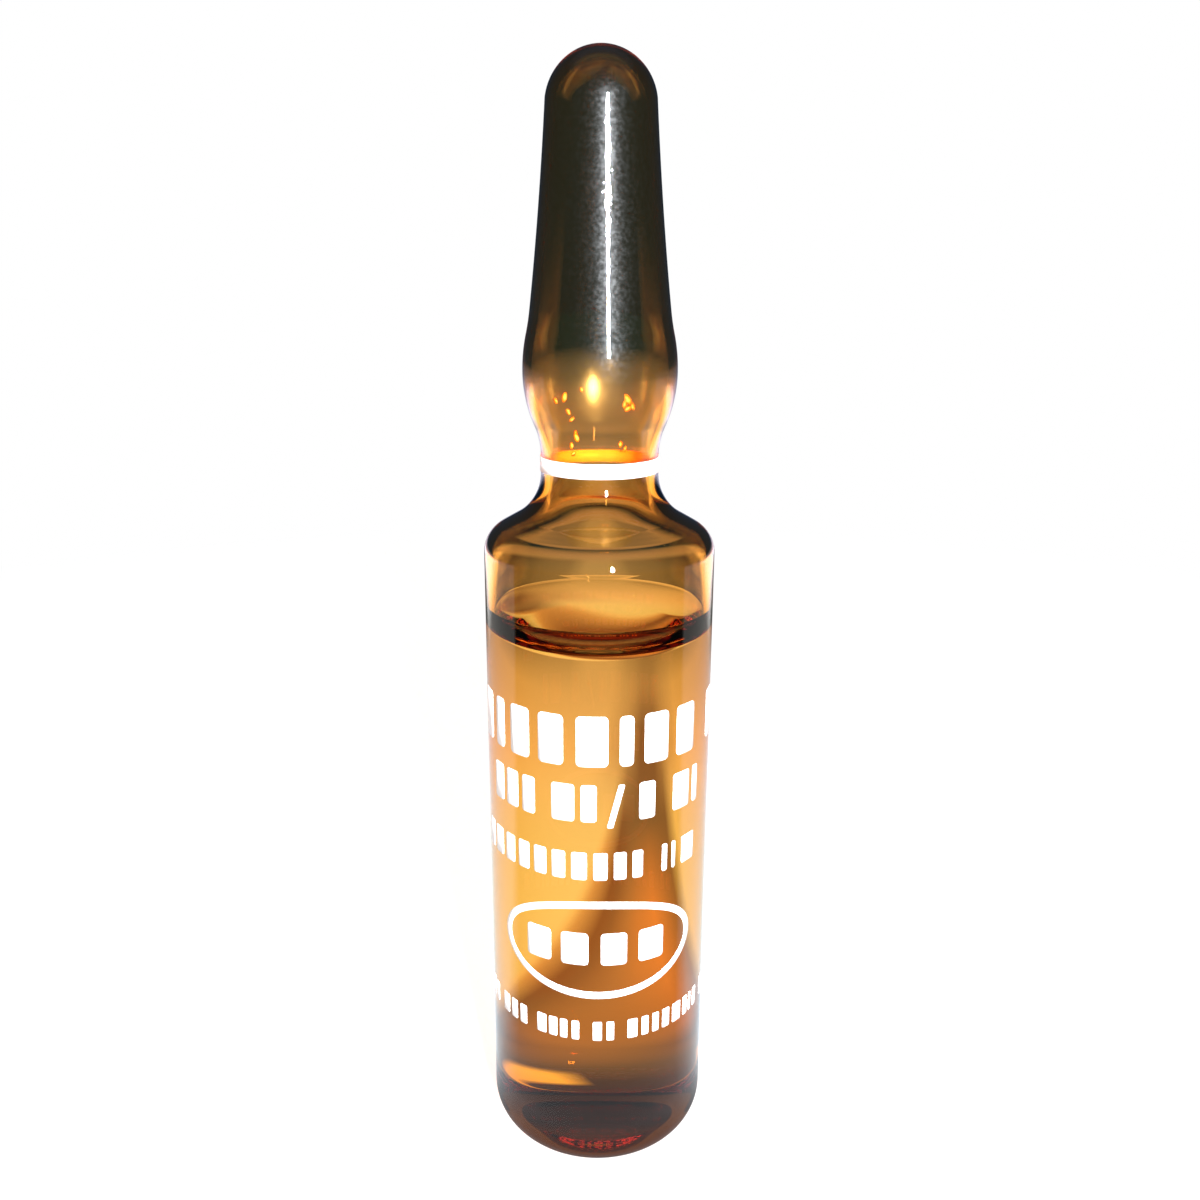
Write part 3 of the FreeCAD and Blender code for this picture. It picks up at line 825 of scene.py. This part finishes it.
class AMPOULE_OT_stage(bpy.types.Operator):
    """Set the table, the light and the camera"""
    bl_idname = "ampoule.stage"
    bl_label = "Stage"

    TABLE_HALF = 3.0
    ROOM_RADIUS = 1.6
    SENSOR_WIDTH = 36.0
    CAMERA_SHIFT = (0.00075, 0.00275)
    BOUNCES, CLEAR_BOUNCES = 24, 16
    # The lamp stands this many degrees to the right of the front, and faces a height on the axis
    LAMP_TURN = 13.0
    LAMP_DISTANCE, LAMP_HEIGHT, LAMP_AIM = 0.308, 0.130, 0.055
    LAMP_WIDTH, LAMP_LENGTH = 0.018, 0.070
    LAMP_POWER = 6.0
    LAMP_COLOUR = (0.90, 0.95, 1.0)

    # What glass sees of the table, as painted lamplight and painted shade: colours by the distance from the
    # ampoule,
    #     # in metres, under it, behind it and in front of it
    UNDER = ((0.0, (0.42, 0.29, 0.17)), (0.0034, (0.42, 0.29, 0.17)), (0.0040, (0.07, 0.07, 0.07)),
             (0.0072, (0.10, 0.09, 0.09)))
    BEHIND = (*UNDER, (0.0095, (0.9, 1.0, 1.0)), (0.011, (1.15, 1.3, 1.4)), (0.018, (1.25, 1.45, 1.6)),
              (0.030, (1.25, 1.45, 1.5)), (0.045, (1.2, 1.35, 1.4)), (0.058, (1.2, 1.25, 1.35)),
              (0.070, (1.15, 1.08, 1.12)), (0.090, (0.93, 0.88, 0.88)), (0.125, (0.68, 0.66, 0.62)),
              (0.200, (0.60, 0.64, 0.75)), (0.320, (0.60, 0.57, 0.75)), (0.550, (0.20, 0.24, 0.34)),
              (1.0, (0.02, 0.05, 0.09)))
    BEFORE = (*UNDER, (0.009, (0.85, 0.85, 0.9)), (0.015, (0.85, 0.85, 0.9)), (0.023, (0.12, 0.12, 0.12)),
              (0.040, (0.03, 0.03, 0.03)), (1.0, (0.02, 0.02, 0.03)))
    BEHIND_EDGE = ((-0.004, 0.0), (0.004, 1.0))
    # Painted shade: what the table in front loses for rays that the glass bends, beyond the foot
    BENT_LOSS = -0.9
    BENT_REACH = ((0.0064, 0.0), (0.0072, 1.0))

    # The ampoule's painted shadow is turned by this many degrees and leaves these shares of the light. Its
    #     # parts are given across it and along it, in metres
    SHADOW_TURN = 10.0
    SHADOW_LEAVES = (0.27, 0.21, 0.22)
    SHARP_ACROSS = ((-0.0078, 0.0), (-0.0045, 1.0), (0.0050, 1.0), (0.0074, 0.0))
    SHARP_ALONG = ((0.0, 0.0), (0.004, 1.0), (0.050, 1.0), (0.070, 0.0))
    SOFT_ASIDE = ((0.0020, 1.0), (0.0062, 0.5), (0.0125, 0.0))
    SOFT_ALONG = ((0.050, 0.0), (0.070, 1.0), (0.078, 0.95), (0.095, 0.5), (0.16, 0.0))
    # A painted tinge of light at the shadow's right edge
    TINGE = (0.0, -0.3, -0.45)
    TINGE_ACROSS = ((0.003, 0.0), (0.0048, 1.0), (0.0066, 1.0), (0.008, 0.0))
    TINGE_ALONG = ((0.012, 0.0), (0.018, 1.0), (0.042, 1.0), (0.055, 0.0))
    # A painted line of amber light down the middle of the shadow
    FOCUS = (0.72, 0.30, 0.05)
    FOCUS_ACROSS = ((-0.006, 0.0), (-0.003, 0.4), (0.0, 1.0), (0.002, 0.7), (0.0042, 0.12), (0.0065, 0.0))
    FOCUS_ALONG = ((0.0095, 0.0), (0.012, 0.5), (0.017, 0.8), (0.022, 1.0), (0.030, 1.0), (0.038, 0.6),
                   (0.050, 0.0))
    # A painted glow of light at the shadow's foot
    FOOT_GLOW = (1.3, 1.1, 0.3)
    FOOT_ACROSS = ((-0.0045, 0.0), (-0.003, 1.0), (0.0004, 1.0), (0.0012, 0.0))
    FOOT_DISTANCE = ((0.0069, 0.0), (0.0074, 1.0), (0.0087, 1.0), (0.0093, 0.0))

    # Painted light and shade: how much brighter or darker the table is to the sides, far behind the ampoule
    SIDE_ASIDE = ((0.004, 1.0), (0.010, 0.6), (0.020, 0.5), (0.030, 0.32), (0.042, 0.15), (0.062, 0.4),
                  (0.074, 2.6), (0.085, 3.3), (0.180, 3.6), (0.300, 0.8))
    SIDE_BEHIND = ((0.09, 0.0), (0.12, 1.0), (0.235, 1.0), (0.275, 0.2), (0.42, 0.15), (0.60, 0.0))

    # The share of plain white in the table that the camera sees, by the distance; the rest is matt
    PLAIN_WHITE = ((0.02, 0.82), (0.20, 1.0))
    MATT = (0.93, 0.93, 0.93, 1.0)
    # The room's glow by the height, in metres: dark walls and a paler ceiling
    ROOM = ((0.0, (0.020, 0.038, 0.065)), (1.15, (0.020, 0.038, 0.065)), (1.35, (0.06, 0.10, 0.16)),
            (1.6, (0.06, 0.10, 0.16)))

    def execute(self, context):
        scene = context.scene
        scene.view_settings.view_transform = "Standard"
        scene.cycles.max_bounces = scene.cycles.transmission_bounces = self.BOUNCES
        scene.cycles.transparent_max_bounces = self.CLEAR_BOUNCES
        self.lay_table()
        self.hang_dark_room()
        self.hang_lamp(scene)
        self.place_camera(scene)
        return {"FINISHED"}

    def lay_table(self):
        """A pale table, white to the eye. Glass shows it with painted lamplight and a painted shadow, as one
        lamp would light it.
        """
        tree = Tree("pale table")
        place = tree.place()
        distance = tree.colour("LENGTH", place).node.outputs["Value"]
        plain = tree.mix(tree.ramp(distance, self.PLAIN_WHITE),
                         tree.add("ShaderNodeBsdfDiffuse", {"Color": self.MATT}),
                         tree.add("ShaderNodeEmission", {}))
        # What glass sees of the table is an emission of painted lamplight and painted shadow
        painted_light = tree.add("ShaderNodeEmission", {"Color": self.painted_lamplight(tree, place, distance)})
        by_glass = tree.calc("MAXIMUM", tree.ray("Is Transmission Ray"), tree.ray("Is Glossy Ray"))
        tree.show(tree.mix(by_glass, plain, painted_light))
        half = self.TABLE_HALF
        mesh = bpy.data.meshes.new("table")
        mesh.from_pydata([(-half, -half, 0.0), (half, -half, 0.0), (half, half, 0.0), (-half, half, 0.0)],
                         [], [(0, 1, 2, 3)])
        mesh.materials.append(tree.material)
        table = bpy.data.objects.new("table", mesh)
        bpy.context.scene.collection.objects.link(table)

    def painted_lamplight(self, tree, place, distance):
        """The table's painted lamplight, as one lamp in front and to the right would light it.

        It fades with the distance. The body's painted shadow lies behind, turned a little to the left: the
        place is turned so that its y runs along it. In front, painted shade stands where the camera keeps
        the light off it;
        the table shows there in the glass's reflections and hardly through its base.
        """
        aside, back, _ = tree.parts(place)
        behind = tree.ramp(back, self.BEHIND_EDGE)
        bent = tree.product(tree.ray("Is Transmission Ray"), tree.ramp(distance, self.BENT_REACH))
        light = tree.blend(
            behind,
            tree.colour("MULTIPLY", tree.colour_ramp(distance, self.BEFORE),
                        tree.calc("MULTIPLY_ADD", bent, self.BENT_LOSS, 1.0)),
            tree.colour_ramp(distance, self.BEHIND))

        turned_place = tree.nodes.new("ShaderNodeVectorRotate")
        turned_place.rotation_type = "Z_AXIS"
        turned_place.inputs["Angle"].default_value = -math.radians(self.SHADOW_TURN)
        tree.feed(turned_place.inputs["Vector"], place)
        across, along, _ = tree.parts(turned_place.outputs[0])
        for factor in (self.shadow(tree, across, along), self.tinge(tree, across, along),
                       self.side_light(tree, aside, back)):
            light = tree.colour("MULTIPLY", light, factor)

        # Painted light: down the middle of the painted shadow, a line of amber light as the body would
        # gather it, with a
        #         # painted glow at its foot
        focus = tree.product(tree.ramp(across, self.FOCUS_ACROSS), tree.ramp(along, self.FOCUS_ALONG))
        foot = tree.product(tree.ramp(distance, self.FOOT_DISTANCE), tree.ramp(across, self.FOOT_ACROSS),
                            behind)
        light = tree.colour("ADD", light, tree.colour("MULTIPLY", self.FOCUS, focus))
        return tree.colour("ADD", light, tree.colour("MULTIPLY", self.FOOT_GLOW, foot))

    def shadow(self, tree, across, along):
        """What the painted shadow leaves of the light. Its edge is sharp near the foot and soft further off.
        """
        sharp = tree.product(tree.ramp(across, self.SHARP_ACROSS), tree.ramp(along, self.SHARP_ALONG))
        soft = tree.product(tree.ramp(tree.calc("ABSOLUTE", across), self.SOFT_ASIDE),
                            tree.ramp(along, self.SOFT_ALONG))
        return tree.colour("MULTIPLY_ADD", [share - 1.0 for share in self.SHADOW_LEAVES],
                           tree.calc("ADD", sharp, soft), WHITE[:3])

    def tinge(self, tree, across, along):
        """The painted tinge of the shadow's right edge, where light would graze the amber wall."""
        edge = tree.product(tree.ramp(across, self.TINGE_ACROSS), tree.ramp(along, self.TINGE_ALONG))
        return tree.colour("MULTIPLY_ADD", self.TINGE, edge, WHITE[:3])

    def side_light(self, tree, aside, back):
        """How the table's painted light changes to the sides, as one factor."""
        change = tree.calc("SUBTRACT", tree.ramp(tree.calc("ABSOLUTE", aside), self.SIDE_ASIDE), 1.0)
        return tree.calc("MULTIPLY_ADD", change, tree.ramp(back, self.SIDE_BEHIND), 1.0)

    def hang_dark_room(self):
        """The white world, and a dark dome that only reflected and bent light meets: the unlit room."""
        world = bpy.data.worlds.new("studio")
        world.use_nodes = True
        world.node_tree.nodes["Background"].inputs["Color"].default_value = WHITE
        world.node_tree.nodes["Background"].inputs["Strength"].default_value = 1.0
        bpy.context.scene.world = world
        tree = Tree("dark room")
        _, _, height = tree.parts(tree.place())
        tree.show(tree.add("ShaderNodeEmission", {"Color": tree.colour_ramp(height, self.ROOM)}))
        line = arc((0.0, 0.0), self.ROOM_RADIUS, 0.0, math.pi / 2, 16)
        around = 48
        points, quads, fans = turned(np.vstack(((0.0, 0.0), line)), around)
        # Without the fan at its foot, the dome is open towards the table
        dome = make_piece("dark_room", (points, quads, fans[around:]), tree.material)
        dome.visible_camera = dome.visible_diffuse = dome.visible_shadow = False
        dome.visible_volume_scatter = False

    def hang_lamp(self, scene):
        """One upright area lamp that faces the ampoule."""
        data = bpy.data.lights.new("lamp", "AREA")
        data.shape = "RECTANGLE"
        data.size, data.size_y = self.LAMP_WIDTH, self.LAMP_LENGTH
        data.energy, data.color = self.LAMP_POWER, self.LAMP_COLOUR
        lamp = bpy.data.objects.new("lamp", data)
        turn = math.radians(self.LAMP_TURN)
        place = Vector((self.LAMP_DISTANCE * math.sin(turn), -self.LAMP_DISTANCE * math.cos(turn),
                        self.LAMP_HEIGHT))
        lamp.location = place
        lamp.rotation_mode = "QUATERNION"
        lamp.rotation_quaternion = (Vector((0.0, 0.0, self.LAMP_AIM)) - place).to_track_quat("-Z", "Y")
        lamp.visible_camera = False
        scene.collection.objects.link(lamp)

    def place_camera(self, scene):
        """The photograph's camera: close to the ampoule, and looking down at it."""
        stage = scene.ampoule_stage
        data = bpy.data.cameras.new("camera")
        data.lens = stage.lens
        data.sensor_width = self.SENSOR_WIDTH
        data.clip_start, data.clip_end = 1 * MM, 100.0
        data.shift_x, data.shift_y = self.CAMERA_SHIFT
        camera = bpy.data.objects.new("camera", data)
        camera.matrix_world = (
            Matrix.Translation((0.0, -stage.camera_distance, stage.camera_height))
            @ Matrix.Rotation(math.pi / 2 - stage.camera_tilt, 4, "X")
            @ Matrix.Rotation(stage.camera_roll, 4, "Z"))
        scene.collection.objects.link(camera)
        scene.camera = camera


class AMPOULE_PT_sidebar(bpy.types.Panel):
    """The ampoule's pieces and sizes"""
    bl_idname = "AMPOULE_PT_sidebar"
    bl_label = "Glass Ampoule"
    bl_space_type = "VIEW_3D"
    bl_region_type = "UI"
    bl_category = "Ampoule"

    def draw(self, context):
        for operator in OPERATORS:
            self.layout.operator(operator.bl_idname)
        for name in GROUPS:
            settings = getattr(context.scene, name)
            for key in settings.bl_rna.properties.keys():
                if key not in ("rna_type", "name"):
                    self.layout.prop(settings, key)


GROUPS = {"ampoule_glass": AmpouleGlass, "ampoule_liquid": AmpouleLiquid,
          "ampoule_print": AmpoulePrint, "ampoule_stage": AmpouleStage}
OPERATORS = (AMPOULE_OT_glass, AMPOULE_OT_liquid, AMPOULE_OT_droplets, AMPOULE_OT_ring, AMPOULE_OT_marks,
             AMPOULE_OT_stage)
CLASSES = (*GROUPS.values(), *OPERATORS, AMPOULE_PT_sidebar)


def register():
    for item in CLASSES:
        bpy.utils.register_class(item)
    for name, group in GROUPS.items():
        setattr(bpy.types.Scene, name, PointerProperty(type=group))


def unregister():
    for name in GROUPS:
        delattr(bpy.types.Scene, name)
    for item in reversed(CLASSES):
        bpy.utils.unregister_class(item)


def main():
    register()
    for operator in OPERATORS:
        module, name = operator.bl_idname.split(".")
        getattr(getattr(bpy.ops, module), name)()


if __name__ == "__main__":
    main()
